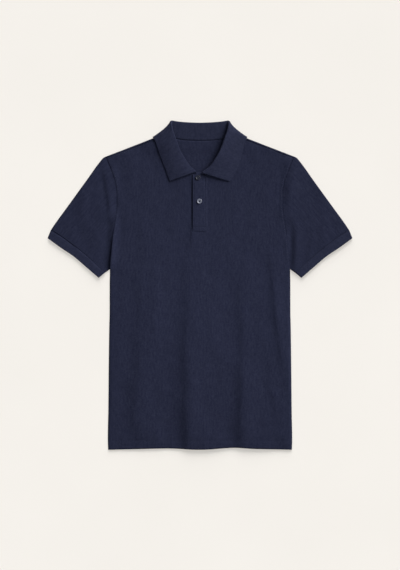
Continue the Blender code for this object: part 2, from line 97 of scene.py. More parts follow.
# Seeds of each piece's slow waves.
WAVE_SEEDS = {"front": 11, "left": 23, "right": 29, "cuff": 31, "collar": 41}

SIDE = {
    "y": (-0.381, -0.358, -0.29, -0.197, -0.104, -0.057, 0.001, UNDERARM_Y),
    "half": (0.213, 0.2138, 0.2126, 0.2117, 0.2105, 0.2095, 0.2094, 0.2085),
}
ARMHOLE = {
    "y": (UNDERARM_Y, 0.078, 0.117, 0.15, 0.185, 0.213, 0.242, 0.264, 0.285, 0.2993),
    "x": (0.2085, 0.2047, 0.2007, 0.1955, 0.1916, 0.1914, 0.1955, 0.2035, 0.2115, 0.217),
}
HEM = {
    "x": (-0.213, -0.16, -0.075, 0.0, 0.085, 0.125, 0.213),
    "y": (-0.3808, -0.3796, -0.3778, -0.3802, -0.376, -0.3784, -0.3806),
}
BACK_HEM_SHORTER = 0.0015
FRONT_NECK = {
    "x": (0.0, 0.02, 0.038, 0.054, 0.066, 0.074, 0.078),
    "y": (0.256, 0.2585, 0.267, 0.284, 0.306, 0.33, 0.353),
}
BACK_NECK = {
    "x": (0.0, 0.025, 0.051, 0.068, 0.078),
    "y": (0.3352, 0.336, 0.339, 0.3455, 0.353),
}
SLEEVE_EDGE = {
    "x": (0.217, 0.2232, 0.2295, 0.265, 0.301, 0.337, 0.346),
    "y": (0.2993, 0.2966, 0.2899, 0.2409, 0.1912, 0.1415, 0.128),
}
CUFF_SEAM = {
    "x": (0.346, 0.3248, 0.3016, 0.2784, 0.2552, 0.232, 0.2205),
    "y": (0.128, 0.1148, 0.0985, 0.0811, 0.0614, 0.0394, 0.0295),
}
CUFF_EDGE = {
    "x": (0.3533, 0.324, 0.2928, 0.264, 0.2348),
    "y": (0.1097, 0.0884, 0.0672, 0.0428, 0.0176),
}

# Folds of the front panel whose left flank is steep and whose right flank runs out slowly: width of
# the steep flank, length of the slow one, then x, y and height along its foot from the top. In mm.
FLANKS = (
    (13, 62, ((-30, 110, 0.6), (-31, -20, 3.8), (-35, -112, 8), (-37, -190, 9.8), (-36, -258, 9.4),
     (-35, -354, 8.2), (-36, -390, 6.8))),
    (12, 36, ((90, 45, 0.6), (93, -55, 3.4), (96, -157, 6), (94, -235, 7.4), (92, -314, 8),
     (94, -390, 6.6))),
    (8.5, 20, ((158, 90, 0.6), (167, 12, 5.8), (173, -55, 6.2), (181, -123, 5.2), (187, -168, 3.4),
     (192, -205, 0))),
    (14, 40, ((-126, 90, 0.8), (-140, -21, 4), (-142, -100, 4.2), (-144, -168, 5.6),
     (-150, -224, 5.2), (-152, -280, 4.2), (-150, -340, 3))),
    (8, 20, ((134, -185, 0), (152, -225, 1.8), (170, -263, 2.8), (174, -335, 1.4))),
    (2.4, 16, ((-20, 128, 2.4), (-21, 112, 2), (-23, 92, 0))),
)

# Straight soft ridges (height above 0) and troughs of the front panel: start, end, half width and
# height, in mm.
FRONT_RIDGES = (
    ((-103, 40), (-102, -140), 16, 1.1), ((-108, -70), (-94, -150), 5, 0.5),
    ((-203, 275), (-196, 205), 9, 2.6), ((-199, 172), (-208, 38), 9, 5.2),
    ((187, 262), (183, 190), 4, -0.8), ((206, 290), (196, 150), 14, 1.6),
    ((200, 110), (205, 60), 7, 1.2), ((164, -207), (176, -225), 14, 1.2),
    ((176, -270), (178, -335), 14, -0.9), ((196, -350), (199, -378), 12, 0.9),
    ((-176, -230), (-165, -370), 26, -1), ((-72, -150), (-76, -350), 22, -1.2),
    ((66, 20), (66, -350), 18, -0.6), ((-140, 330), (-178, 306), 8, 0.4),
)

# The same for each sleeve.
SLEEVE_FLANKS = {
    "left": (
        (4, 20, ((-226, 280, 0.4), (-221, 245, 3), (-213, 195, 2.8), (-211, 160, 2),
         (-211, 140, 0))),
        (9, 30, ((-262, 215, 0), (-285, 170, 1.8), (-300, 120, 0.4))),
    ),
    "right": (
        (6.5, 22, ((218, 146, 0.8), (219, 100, 3.8), (216, 40, 3.8))),
        (6, 22, ((266, 172, 0.4), (258, 112, 2.2), (250, 62, 2.6))),
    ),
}
SLEEVE_RIDGES = {
    "left": (
        ((-206, 150), (-210, 30), 17, -3),
        ((-250, 120), (-262, 84), 12, -0.6),
    ),
    "right": (
        ((204, 292), (192, 150), 20, 4.2),
        ((212, 130), (210, 40), 8, -2.6),
    ),
}
SEAM_REACH = 0.012  # how far from the armhole the sleeve takes the front's height
LEVEL_FROM = {"left": (0.062, 0.15), "right": (0.11, 0.15)}
SEAM_STEP = {"left": 0.0011, "right": 0.0005}  # how far the sleeve lies below the front there
SLEEVE_LOWEST = 0.0022
CUFF_PROUD = 0.0003  # how far the cuff stands above the sleeve
FADE = 0.03  # length over which a fold dies away at each end

# Collar sections from the front end (0) past the shoulder (1) to the middle of the back (2), mm.
# radius: of the fold's bend. bulge: fullness of the fall, a share of its width. open: 1 where the
# fold stays open, 0 where it turns right over. turn: which way it faces, in degrees from up.
COLLAR_STATIONS = (0, 0.143, 0.294, 0.475, 0.681, 0.848, 0.95)
COLLAR_FRONT = {
    "left": {
        "fold_x": (8.6, 23.2, 34.8, 46.4, 55.7, 62.6, 64.6),
        "fold_y": (263.6, 277.2, 293.4, 314.3, 339.8, 360.7, 375),
        "fold_z": (9.6, 10.2, 11, 11.6, 11.6, 10.8, 8.6),
        "edge_x": (69.6, 75.4, 80.4, 86.8, 94, 99.8, 104),
        "edge_y": (241.2, 256, 270, 287.5, 306.5, 323, 335.5),
        "radius": (0.7, 0.7, 0.7, 0.8, 1.1, 1.8, 2.6),
        "bulge": (0.35, 0.35, 0.35, 0.35, 0.34, 0.32, 0.3),
        "open": (1, 1, 1, 1, 0.85, 0.3, 0),
    },
    "right": {
        "fold_x": (4.6, 22.4, 34.8, 46.4, 55.7, 62.6, 64.6),
        "fold_y": (262.8, 276.2, 293.4, 314.3, 339.8, 360.7, 375),
        "fold_z": (9.6, 10.2, 11.2, 11.8, 11.8, 10.6, 8.6),
        "edge_x": (68.4, 78, 85.6, 92.6, 97.6, 101.6, 105),
        "edge_y": (240.5, 254.5, 268.5, 287, 307, 323.5, 336),
        "radius": (1.8, 2.2, 2.8, 3.2, 3.2, 3, 2.6),
        "bulge": (0, 0.06, 0.12, 0.2, 0.29, 0.3, 0.3),
        "open": (0,) * 7,
    },
}
COLLAR_BACK = {
    "at": (0.985, 1, 1.015, 1.06, 1.3, 1.62, 2),
    "fold_x": (64, 62.6, 60.8, 57, 44, 24, 0),
    "fold_y": (378.4, 379.8, 380.2, 380, 378.6, 377.2, 376.4),
    "fold_z": (7.4, 6.2, 5.9, 5.9, 5.9, 5.9, 5.9),
    "edge_x": (108.4, 109.6, 108.3, 100, 75, 38, 0),
    "edge_y": (341.9, 343.6, 341.5, 337.5, 335, 332.6, 332),
    "radius": (2.6,) * 7,
    "bulge": (0.3,) * 7,
    "open": (0,) * 7,
}
COLLAR_HEIGHTS = {
    "at": (0, 0.06, 0.2, 0.34, 0.51, 0.71, 0.86, 0.95, 0.985, 1, 1.015, 1.06, 1.3, 2),
    "edge_z": (6.4, 6.5, 6.7, 7.1, 7.3, 7.8, 8.6, 9.2, 8.3, 4.3, 0.7, 0.7, 0.7, 0.7),
    "turn": (0, 0, 0, 0, 0, 0, 8, 32, 62, 90, 118, 165, 180, 180),
}
COLLAR_UNITS = {"turn": 1, "bulge": 1, "open": 1.0}
STAND_POINTS = 14  # across the stand, and then round the fold
BEND_POINTS = 12
COLLAR_RISE = 14.0  # degrees by which the left fall climbs as it leaves an open fold
COLLAR_END_SHARE = 0.05  # share of the front neckline left bare at the placket
SHOULDER_OUTWARD = (0.68, 0.73, 0.0)
SHOULDER_CLEARANCE = 0.0012


# ---- curves and heights ----

def smooth(stations, values, at):
    """Smooth curve through a table's rows that never overshoots them (monotone cubic)."""
    x = np.asarray(stations, float)
    y = np.asarray(values, float)
    at = np.clip(np.asarray(at, float), x[0], x[-1])
    step = np.diff(x)
    slope = np.diff(y) / step
    tangent = np.empty_like(y)
    tangent[0], tangent[-1] = slope[0], slope[-1]
    turning = slope[:-1] * slope[1:] <= 0.0
    safe = np.where(turning, 1.0, slope[:-1] + slope[1:])
    tangent[1:-1] = np.where(turning, 0.0, 2.0 * slope[:-1] * slope[1:] / safe)
    i = np.clip(np.searchsorted(x, at, side="right") - 1, 0, len(step) - 1)
    t = (at - x[i]) / step[i]
    return ((1 + 2 * t) * (1 - t) ** 2 * y[i] + t * (1 - t) ** 2 * step[i] * tangent[i]
            + t ** 2 * (3 - 2 * t) * y[i + 1] + t ** 2 * (t - 1) * step[i] * tangent[i + 1])


def along(curve, share):
    """Points at shares 0..1 of the length of a curve given by its x and y rows."""
    x, y = np.array(curve["x"]), np.array(curve["y"])
    length = np.concatenate(([0.0], np.cumsum(np.hypot(np.diff(x), np.diff(y)))))
    at = np.asarray(share, float) * length[-1]
    return paired(smooth(length, x, at), smooth(length, y, at))


def even(count):
    """Even steps from 0 to 1."""
    return np.linspace(0.0, 1.0, count)


def paired(*rows):
    """Rows of x, y and so on, as points."""
    return np.stack(rows, axis=-1)


def ramp(low, high, at):
    """0 below low, 1 above high, smooth between."""
    t = np.clip((np.asarray(at, float) - low) / (high - low), 0.0, 1.0)
    return t * t * (3.0 - 2.0 * t)


def unit(vector):
    return vector / norm(vector)


def bell(distance, height, width):
    """Height of a smooth bump at a distance from its middle."""
    return height * np.exp(-((distance / width) ** 2))


def rounded_drop(distance, radius):
    """Drop of a quarter-round edge at a distance in from its rim: 1 at the rim, 0 past its radius."""
    share = np.clip(distance / radius, 0.0, 1.0)
    return 1 - np.sqrt(1 - (1 - share) ** 2)


def ridge_height(ridge, x, y):
    """Height that one straight soft ridge or trough adds at (x, y)."""
    start, end, half, height = (np.array(value) * MM for value in ridge)
    run = end - start
    length = float(np.hypot(*run))
    run /= length
    ahead = (x - start[0]) * run[0] + (y - start[1]) * run[1]
    aside = (x - start[0]) * run[1] - (y - start[1]) * run[0]
    ends = ramp(-FADE / 2, FADE / 2, ahead) * (1 - ramp(length - FADE / 2, length + FADE / 2, ahead))
    return bell(aside, height, half) * ends


def flank_height(flank, x, y):
    """Height of a fold with a steep left flank and a slow right one, along a mostly upright path."""
    steep, tail = np.array(flank[:2]) * MM
    xs, ys, rises = np.array(flank[2][::-1]).T * MM
    foot = smooth(ys, xs, y)
    rise = smooth(ys, rises, y)
    rise = rise * ramp(ys[0] - FADE, ys[0], y) * (1 - ramp(ys[-1], ys[-1] + FADE, y))
    aside = x - foot
    up = 1.0 / (1.0 + np.exp(-np.clip(aside / steep * 2.0, -40.0, 40.0)))
    return rise * up * np.exp(-np.maximum(aside, 0.0) / tail)


def slow_waves(x, y, seed):
    """Slow random waves of the cloth, about a third of a millimetre."""
    random = np.random.default_rng(seed)
    total = np.zeros(np.broadcast(x, y).shape)
    for wavelength, height in ((0.14, 0.00022), (0.08, 0.00016), (0.046, 0.0001), (0.024, 0.00005)):
        for _ in range(4):
            turn, phase = random.uniform(0.0, math.tau, 2)
            ahead = (x * math.cos(turn) * 1.3 + y * math.sin(turn) * 0.8) / wavelength
            total = total + height * np.sin(math.tau * ahead + phase)
    return total


def half_width(y):
    return smooth(SIDE["y"], SIDE["half"], y)


def armhole_x(y):
    return smooth(ARMHOLE["y"], ARMHOLE["x"], y)


def lift(x, y):
    """How far the back of the collar, lying underneath, raises the cloth above it."""
    return FALL_LIFT * (1 - ramp(0.114, 0.14, np.abs(x))) * ramp(0.3, 0.322, y)


def groove(distance):
    """A sewn seam's dip at a distance from it."""
    return -bell(distance, GROOVE_DEPTH, GROOVE_WIDTH)


def front_height(x, y):
    """Upper face of the front panel, before its edges."""
    off_placket = ramp(0.03, 0.055, np.hypot(x, (y - 0.2) * 0.45))
    near_neck = ramp(0.225, 0.26, y) * (1 - ramp(0.08, 0.12, np.abs(x)))
    on_turning = 1 - ramp(HEM_LINE_Y - 0.0013, HEM_LINE_Y + 0.0012, y)
    above_box = ramp(BAND_ROWS[1] - 0.002, BAND_ROWS[1] + 0.004, y)
    z = VALLEY + 0.5 * (LOFT - VALLEY) * ramp(*FRONT_CLIMB, y)
    z = z + sum(flank_height(flank, x, y) for flank in FLANKS)
    z = z + sum(ridge_height(ridge, x, y) for ridge in FRONT_RIDGES)
    z = z + slow_waves(x, y, WAVE_SEEDS["front"]) * off_placket
    z = z + NECK_PLUMP * near_neck - HEM_SINK * (1 - ramp(-0.38, -0.35, y))
    z = z + HEM_STEP * on_turning + groove(y - HEM_LINE_Y) * 0.6
    z = np.maximum(z, LOWEST_TOP)
    return z - bell(x - SLIT_X, SLIT_DEPTH, SLIT_WIDTH) * above_box + lift(x, y)


def side_roll(x, y):
    """1 at the side seams below the sleeves, where front meets back, and 0 inside them."""
    return rounded_drop(half_width(y) - np.abs(x), SIDE_ROLL) * (1 - ramp(0.006, 0.036, y))


def armhole_distance(x, y):
    """Distance across the shirt from the nearer armhole seam, and a metre anywhere below it."""
    seam = armhole_x(y)
    return np.where(y > UNDERARM_Y - 0.004, np.abs(np.abs(x) - seam), 1.0)


def front_surface(x, y):
    """Upper face of the front panel, rolled down at its sides and dipped along the armholes."""
    top = front_height(x, y)
    top = top - (top - SIDE_SEAM) * side_roll(x, y)
    sunk = np.where(x < 0.0, 0.4, 1.0) * (1 - 0.8 * ramp(0.255, 0.285, y))
    return top + groove(armhole_distance(x, y)) * sunk


# ---- plans ----

def shoulder_inward():
    """Unit vector in plan from the right shoulder's outline into the shirt."""
    run = unit(np.array(SHOULDER_NECK) - np.array(SHOULDER_TIP))
    return np.array([-run[1], run[0]])


def column_shares(neck_columns, shoulder_columns, roll_columns):
    """Places of a panel's columns, from -1 at its left edge to 1, closer at the neck and sides."""
    fine = np.arange(0.056, 0.118, 0.0028) if neck_columns > 20 else ()
    neck = np.unique(np.concatenate([np.linspace(0.0, NECK_SHARE, neck_columns + 1), fine, [SLOT_SHARE]]))
    roll_share = 1 - SIDE_ROLL / half_width(0.0)
    shoulder = np.linspace(NECK_SHARE, roll_share, shoulder_columns + 1)[1:]
    roll = 1 - (1 - roll_share) * (1 - even(roll_columns + 1)[1:]) ** 2
    half = np.concatenate([neck, shoulder, roll])
    return np.concatenate([-half[:0:-1], half])


def top_edge(shares, neck, inset):
    """Upper boundary of a panel: shoulder, neckline, shoulder. inset moves the shoulders in."""
    size = np.abs(shares)
    move = shoulder_inward() * inset
    tip = np.array(SHOULDER_TIP) + move
    high = np.array(SHOULDER_NECK) + move
    at_neck = np.clip(size / NECK_SHARE, 0.0, 1.0)
    sink = ramp(0.85, 1.0, at_neck)[:, None] * move
    neck_points = along(neck, at_neck) + sink
    shoulder = high + (tip - high) * (np.clip(size - NECK_SHARE, 0.0, 1.0) / (1 - NECK_SHARE))[:, None]
    points = np.where((size <= NECK_SHARE)[:, None], neck_points, shoulder)
    return points * paired(np.where(shares < 0.0, -1.0, 1.0), np.ones_like(size))


def armhole(rise, inset):
    """Right armhole seam at shares 0..1 of the way up, its top end moved in from the outline."""
    low, high = ARMHOLE["y"][0], ARMHOLE["y"][-1]
    y = low + (high + shoulder_inward()[1] * inset - low) * np.asarray(rise, float)
    return paired(armhole_x(y), y)


def panel_plan(shares, neck, lower_rows, upper_rows, hem_shorter, inset):
    """Plan of a body panel as rows of points, from the hem up to the neckline and shoulders."""
    foot = smooth(HEM["x"], HEM["y"], shares * SIDE["half"][0]) + hem_shorter
    rows = []
    for step in even(lower_rows + 1)[:-1]:
        y = foot + (UNDERARM_Y - foot) * step
        rows.append(paired(shares * half_width(y), y))
    top = top_edge(shares, neck, inset)
    across = (shares + 1.0) / 2.0
    base = paired(shares * SIDE["half"][-1], np.full_like(shares, UNDERARM_Y))
    straight_top = top[0] + (top[-1] - top[0]) * across[:, None]
    for rise in even(upper_rows + 1):
        side_x, side_y = armhole(rise, inset)
        sides = paired(shares * side_x, np.full_like(shares, side_y))
        ruled = base + (top - base) * rise
        straight = base + (straight_top - base) * rise
        rows.append(ruled + sides - straight)
    return np.array(rows)


def sleeve_plan(across, v):
    """Right sleeve: across from the upper edge to the underarm, v from the armhole to the cuff."""
    across, v = np.broadcast_arrays(across, v)
    a, b = across[..., None], v[..., None]
    seam = armhole(1 - across, 0.0)
    end = along(CUFF_SEAM, across)
    upper = along(SLEEVE_EDGE, v)
    low_start, low_end = armhole(0.0, 0.0), along(CUFF_SEAM, 1.0)
    up_start, up_end = along(SLEEVE_EDGE, 0.0), along(SLEEVE_EDGE, 1.0)
    lower = low_start + (low_end - low_start) * b
    ruled = seam + (end - seam) * b
    edges = upper + (lower - upper) * a
    corners_up = up_start + (up_end - up_start) * b
    corners = corners_up + (lower - corners_up) * a
    return ruled + edges - corners


def cuff_plan(across, v):
    """Right cuff: across as on the sleeve, v from the sleeve to the cuff's edge."""
    across, v = np.broadcast_arrays(across, v)
    seam, end = along(CUFF_SEAM, across), along(CUFF_EDGE, across)
    return seam + (end - seam) * v[..., None]


# ---- meshes ----

def lengths(points, axis):
    """Running length along a grid's rows or columns, averaged across the other."""
    steps = norm(np.diff(points, axis=axis), axis=-1)
    mean = steps.mean(axis=1 - axis)
    return np.concatenate([[0.0], np.cumsum(mean)])


def add_object(name, data):
    made = bpy.data.objects.new(name, data)
    bpy.context.scene.collection.objects.link(made)
    return made


def add_mesh(name, vertices, faces, finish):
    mesh = bpy.data.meshes.new(name)
    mesh.from_pydata(vertices, [], faces)
    mesh.shade_smooth()
    mesh.materials.append(finish)
    return add_object(name, mesh)


def surface(name, points, finish, ring=False, keep=None, flip=False):
    """Object through a grid of points, rows by columns, with a map of its cloth in metres."""
    points = np.asarray(points, float)
    rows, columns = points.shape[:2]
    r, c = np.meshgrid(np.arange(rows - 1), np.arange(columns if ring else columns - 1), indexing="ij")
    if keep is not None:
        r, c = r[keep], c[keep]
    r, c = r.ravel(), c.ravel()
    n = (c + 1) % columns
    low, high = r * columns, (r + 1) * columns
    quads = paired(low + c, low + n, high + n, high + c)
    corner_c = paired(c, c + 1, c + 1, c)
    corner_r = paired(r, r, r + 1, r + 1)
    if flip:
        quads, corner_c, corner_r = quads[:, ::-1], corner_c[:, ::-1], corner_r[:, ::-1]
    used, quads = np.unique(quads, return_inverse=True)
    piece = add_mesh(name, points.reshape(-1, 3)[used], quads.reshape(-1, 4), finish)
    across = lengths(np.concatenate([points, points[:, :1]], axis=1) if ring else points, 1)
    down = lengths(points, 0)
    weave = paired(across[corner_c], down[corner_r])
    piece.data.uv_layers.new(name="cloth")
    piece.data.uv_layers["cloth"].uv.foreach_set("vector", weave.astype(np.float32).ravel())
    return piece


def stitches(name, paths, finish, length=0.0026, gap=0.0008, radius=0.00024, sides=5, stations=5):
    """Separate stitches along paths of points, as one mesh of short bent strands."""
    vertices, faces = [], []
    for path in paths:
        path = np.asarray(path, float)
        run = np.concatenate([[0.0], np.cumsum(norm(np.diff(path, axis=0), axis=1))])
        count = max(1, int(run[-1] / (length + gap)))
        pitch = run[-1] / count
        for i in range(count):
            start = pitch * (i + 0.5) - length / 2.0
            t = even(stations)
            at = start + t * length
            centre = paired(*(np.interp(at, run, column) for column in path.T))
            centre[:, 2] += radius * 0.9 * np.sin(math.pi * t) - radius * 0.4
            ahead = unit(centre[-1] - centre[0])
            side = unit(np.cross(ahead, (0.0, 0.0, 1.0)))
            up = np.cross(side, ahead)
            size = radius * np.sqrt(np.clip(np.sin(math.pi * (0.06 + 0.88 * t)), 0.0, 1.0))
            first = len(vertices)
            for k in range(stations):
                for turn in np.arange(sides) * (math.tau / sides):
                    vertices.append(centre[k] + (side * math.cos(turn) + up * math.sin(turn)) * size[k])
            for k in range(stations - 1):
                for j in range(sides):
                    a, b = first + k * sides + j, first + k * sides + (j + 1) % sides
                    faces.append((a, b, b + sides, a + sides))
            last = first + (stations - 1) * sides
            faces.append(tuple(range(first, first + sides))[::-1])
            faces.append(tuple(range(last, last + sides)))
    return add_mesh(name, vertices, faces, finish)


def settle(piece, slot, *nodes):
    """Every piece of the shirt is on its one body; nodes are the solids it stands for."""
    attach(piece, "root")
    if nodes:
        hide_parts(*nodes)
    return piece


def cloth(name, points, finish, solid, slot="pique", thickness=SHELL, offset=-1.0, **grid):
    """A piece of cloth with its thickness, which stands for one solid."""
    piece = surface(name, points, finish, **grid)
    wall = piece.modifiers.new("cloth", "SOLIDIFY")
    wall.thickness = thickness
    wall.offset = offset
    wall.use_quality_normals = True
    return settle(piece, slot, solid)


# ---- materials ----

PIQUE_WALE, PIQUE_ROW = 0.00155, 0.00135
RIB_PITCH, RIB_LOOP = 0.00145, 0.00075

# colours: the darkest and the lightest. streaks and mottle: noise scales. knit_bump: strength, depth.
KNITS = {
    "navy_pique": {
        "roughness": 0.9, "sheen": 0.05, "streaks": 60.0, "stretch": 4.0, "mottle": 240.0,
        "knit_tone": 0.06, "knit_bump": (0.55, 0.00018),
        "colours": ((0.0062, 0.0082, 0.024), (0.019, 0.0225, 0.0465)),
    },
    "navy_rib": {
        "roughness": 0.88, "sheen": 0.06, "streaks": 70.0, "stretch": 2.0, "mottle": 260.0,
        "knit_tone": 0.07, "knit_bump": (0.6, 0.00022),
        "colours": ((0.008, 0.0102, 0.0275), (0.022, 0.0258, 0.052)),
    },
}
THREAD_COLOURS = ((0.01, 0.013, 0.027), (0.021, 0.025, 0.047))
FLOOR_COLOURS = ((0.8, 0.78, 0.745), (0.815, 0.795, 0.76))


def new_material(name, roughness, sheen=0.0):
    made = bpy.data.materials.new(name)
    made.use_nodes = True
    tree = made.node_tree
    shader = tree.nodes["Principled BSDF"]
    set_inputs(tree, shader, [("Roughness", roughness), ("Metallic", 0.0), ("Specular IOR Level", 0.12)])
    if sheen:
        set_inputs(tree, shader, [("Sheen Weight", sheen), ("Sheen Roughness", 0.45),
                                  ("Sheen Tint", (0.55, 0.62, 0.95, 1.0))])
    return made, tree, shader


def set_inputs(tree, target, inputs):
    """Link a node's inputs to sockets, or set them to values."""
    for key, value in inputs:
        if isinstance(value, bpy.types.NodeSocket):
            tree.links.new(value, target.inputs[key])
        else:
            target.inputs[key].default_value = value


def node(tree, kind, inputs=(), **settings):
    made = tree.nodes.new(kind)
    for key, value in settings.items():
        setattr(made, key, value)
    set_inputs(tree, made, inputs)
    return made


def math_node(tree, operation, *values):
    return node(tree, "ShaderNodeMath", enumerate(values), operation=operation).outputs[0]


def wave(tree, at, pitch, shift=0.0):
    """Sine along a coordinate, from -1 to 1."""
    return math_node(tree, "SINE", math_node(tree, "MULTIPLY_ADD", at, math.tau / pitch, shift))


def noise(tree, vector, scale, detail, stretch=(1.0, 1.0, 1.0)):
    mapped = node(tree, "ShaderNodeMapping", [("Vector", vector), ("Scale", stretch)])
    made = node(tree, "ShaderNodeTexNoise", [("Vector", mapped.outputs["Vector"]), ("Scale", scale),
                                             ("Detail", detail), ("Roughness", 0.6)])
    return made.outputs["Fac"]


def mixed_colour(tree, shader, factor, low, high):
    """Base colour that runs from low to high over the middle of the factor's range."""
    ramp_node = node(tree, "ShaderNodeValToRGB", [("Fac", factor)])
    for stop, place, colour in zip(ramp_node.color_ramp.elements, (0.3, 0.7), (low, high)):
        stop.position = place
        stop.color = colour + (1.0,)
    set_inputs(tree, shader, [("Base Color", ramp_node.outputs["Color"])])


def bumped(tree, shader, layers):
    """Bump from (height, strength, depth in metres) layers, one over the other."""
    below = []
    for height, strength, depth in layers:
        inputs = [("Height", height), ("Strength", strength), ("Distance", depth)]
        made = node(tree, "ShaderNodeBump", inputs + below)
        below = [("Normal", made.outputs["Normal"])]
    set_inputs(tree, shader, below)


def knit_material(name, knit_of):
    """Cotton knit with uneven navy dye; knit_of gives the height of its stitches."""
    look = KNITS[name]
    made, tree, shader = new_material(name, look["roughness"], look["sheen"])
    uv = node(tree, "ShaderNodeUVMap", uv_map="cloth").outputs["UV"]
    u, v = node(tree, "ShaderNodeSeparateXYZ", [("Vector", uv)]).outputs[:2]
    knit = knit_of(tree, u, v)
    fuzz = noise(tree, uv, 900.0, 2.0)
    streaks = noise(tree, uv, look["streaks"], 3.0, (look["stretch"], 1.0, 1.0))
    mottle = noise(tree, uv, look["mottle"], 3.0)
    tone = math_node(tree, "MULTIPLY_ADD", knit, look["knit_tone"], 0.05)
    for cloud in (streaks, mottle):
        tone = math_node(tree, "MULTIPLY_ADD", cloud, 0.45, tone)
    mixed_colour(tree, shader, tone, *look["colours"])
    bumped(tree, shader, [(mottle, 0.35, 0.0006), (knit, *look["knit_bump"]), (fuzz, 0.25, 0.0001)])
    return made


def pique_knit(tree, u, v):
    """Offset rows of small raised lozenges, over fine wales."""
    lozenge = math_node(tree, "MULTIPLY", wave(tree, u, PIQUE_WALE), wave(tree, v, PIQUE_ROW))
    wales = math_node(tree, "MULTIPLY", wave(tree, u, PIQUE_WALE / 2.0, 0.6), 0.35)
    return math_node(tree, "ADD", lozenge, wales)


def rib_knit(tree, u, v):
    """Fine ribs across the band, each a row of loops."""
    ribs = wave(tree, u, RIB_PITCH)
    loops = math_node(tree, "MULTIPLY", wave(tree, v, RIB_LOOP), 0.3)
    return math_node(tree, "ADD", ribs, loops)


def clouded_material(name, colours, roughness, sheen, *cloud):
    """A plain material between two colours; cloud is its noise's scale, detail and stretch."""
    made, tree, shader = new_material(name, roughness, sheen)
    place = node(tree, "ShaderNodeTexCoord").outputs["Object"]
    clouds = noise(tree, place, *cloud)
    mixed_colour(tree, shader, clouds, *colours)
    return made, tree, shader, clouds


def thread_material():
    made, tree, shader, ply = clouded_material("navy_thread", THREAD_COLOURS, 0.6, 0.2, 1500.0, 1.0)
    bumped(tree, shader, [(ply, 0.4, 0.0001)])
    return made


def resin_material(name, colours, gloss):
    """Polished resin; gloss sets its reflection and its clear coat."""
    stretch = (1.0, 0.35, 1.0)
    made, tree, shader, _ = clouded_material(name, colours, 0.3, 0.0, 260.0, 4.0, stretch)
    set_inputs(tree, shader, [("Specular IOR Level", gloss), ("Coat Weight", 0.5 * gloss),
                              ("Coat Roughness", 0.12)])
    return made


def floor_material():
    return clouded_material("pale_floor", FLOOR_COLOURS, 0.9, 0.0, 3.0, 2.0)[0]


# ---- cloth pieces ----

def make_front(pique):
    shares = column_shares(24, 44, 7)
    plan = panel_plan(shares, FRONT_NECK, 130, 84, 0.0, SEAM_INSET)
    x, y = plan[..., 0], plan[..., 1]
    z = front_surface(x, y)
    seam_rows = np.arange(len(plan))[::-1, None] * 0.003
    on_shoulder = (np.abs(shares) > NECK_SHARE)[None, :]
    z = z + np.where(on_shoulder, groove(seam_rows), 0.0)
    middle_share = np.abs(shares[:-1] + shares[1:]) / 2.0
    middle_y = (y[:-1, :-1] + y[1:, 1:]) / 2.0
    keep = (middle_share[None, :] > SLOT_SHARE) | (middle_y < SLOT_FOOT)
    return cloth("front_panel", np.dstack([plan, z]), pique, "front", keep=keep)


def make_under_placket(pique):
    across = np.linspace(-UNDER_HALF, UNDER_HALF, 12)
    rows = np.linspace(SLOT_FOOT - UNDER_TUCK, UNDER_TOP, 48)
    x, y = np.meshgrid(across, rows)
    z = front_surface(x, y) - 0.0004
    return cloth("under_placket_band", np.dstack([x, y, z]), pique, "under_placket")


def placket_height(x, y):
    """Upper face of the placket: sewn down on its right, standing proud along its open left edge."""
    width = BAND_RIGHT - BAND_LEFT
    open_share = np.clip((BAND_RIGHT - x) / width, 0.0, 1.0)
    sewn_foot = ramp(BAND_FOOT, BAND_FOOT + 0.022, y)
    proud = BAND_FLUSH + (BAND_PROUD - BAND_FLUSH) * open_share * sewn_foot
    z = front_surface(np.clip(x, BAND_LEFT, BAND_RIGHT), y) + proud
    z = z + 0.0004 * np.sin(math.pi * open_share)
    for stitched in BAND_STITCHING:
        z = z - bell(x - stitched, 0.00035, 0.0011)
    for stitched in BAND_ROWS:
        z = z - bell(y - stitched, 0.0004, 0.001)
    box = 1 - ramp(BAND_ROWS[1] - 0.0004, BAND_ROWS[1] + 0.0004, y)
    inside = np.minimum(x - BAND_LEFT, BAND_RIGHT - x)
    low_end = ramp(0.236, 0.246, y) * ramp(0.001, 0.006, inside)
    return z - 0.0002 * box - BAND_SINK * low_end


def make_placket(pique):
    across = BAND_LEFT + (BAND_RIGHT - BAND_LEFT) * even(44)
    steps = even(150)
    top = BAND_TOP - 0.0055 * ramp(0.0065, 0.0085, np.abs(across + 0.0018))
    x = np.broadcast_to(across, (len(steps), len(across))).copy()
    y = BAND_FOOT + (top[None, :] - BAND_FOOT) * steps[:, None]
    z = placket_height(x, y)
    edge = np.minimum(x - BAND_LEFT, (BAND_RIGHT - x) * 1.2)
    edge = np.minimum(edge, np.minimum(y - BAND_FOOT, top[None, :] - y))
    rim_width, rim_depth = BAND_EDGE
    z = z - rim_depth * rounded_drop(edge, rim_width)
    points = np.dstack([x, y, z])
    return cloth("placket_band", points, pique, "placket", thickness=BAND_SHELL)


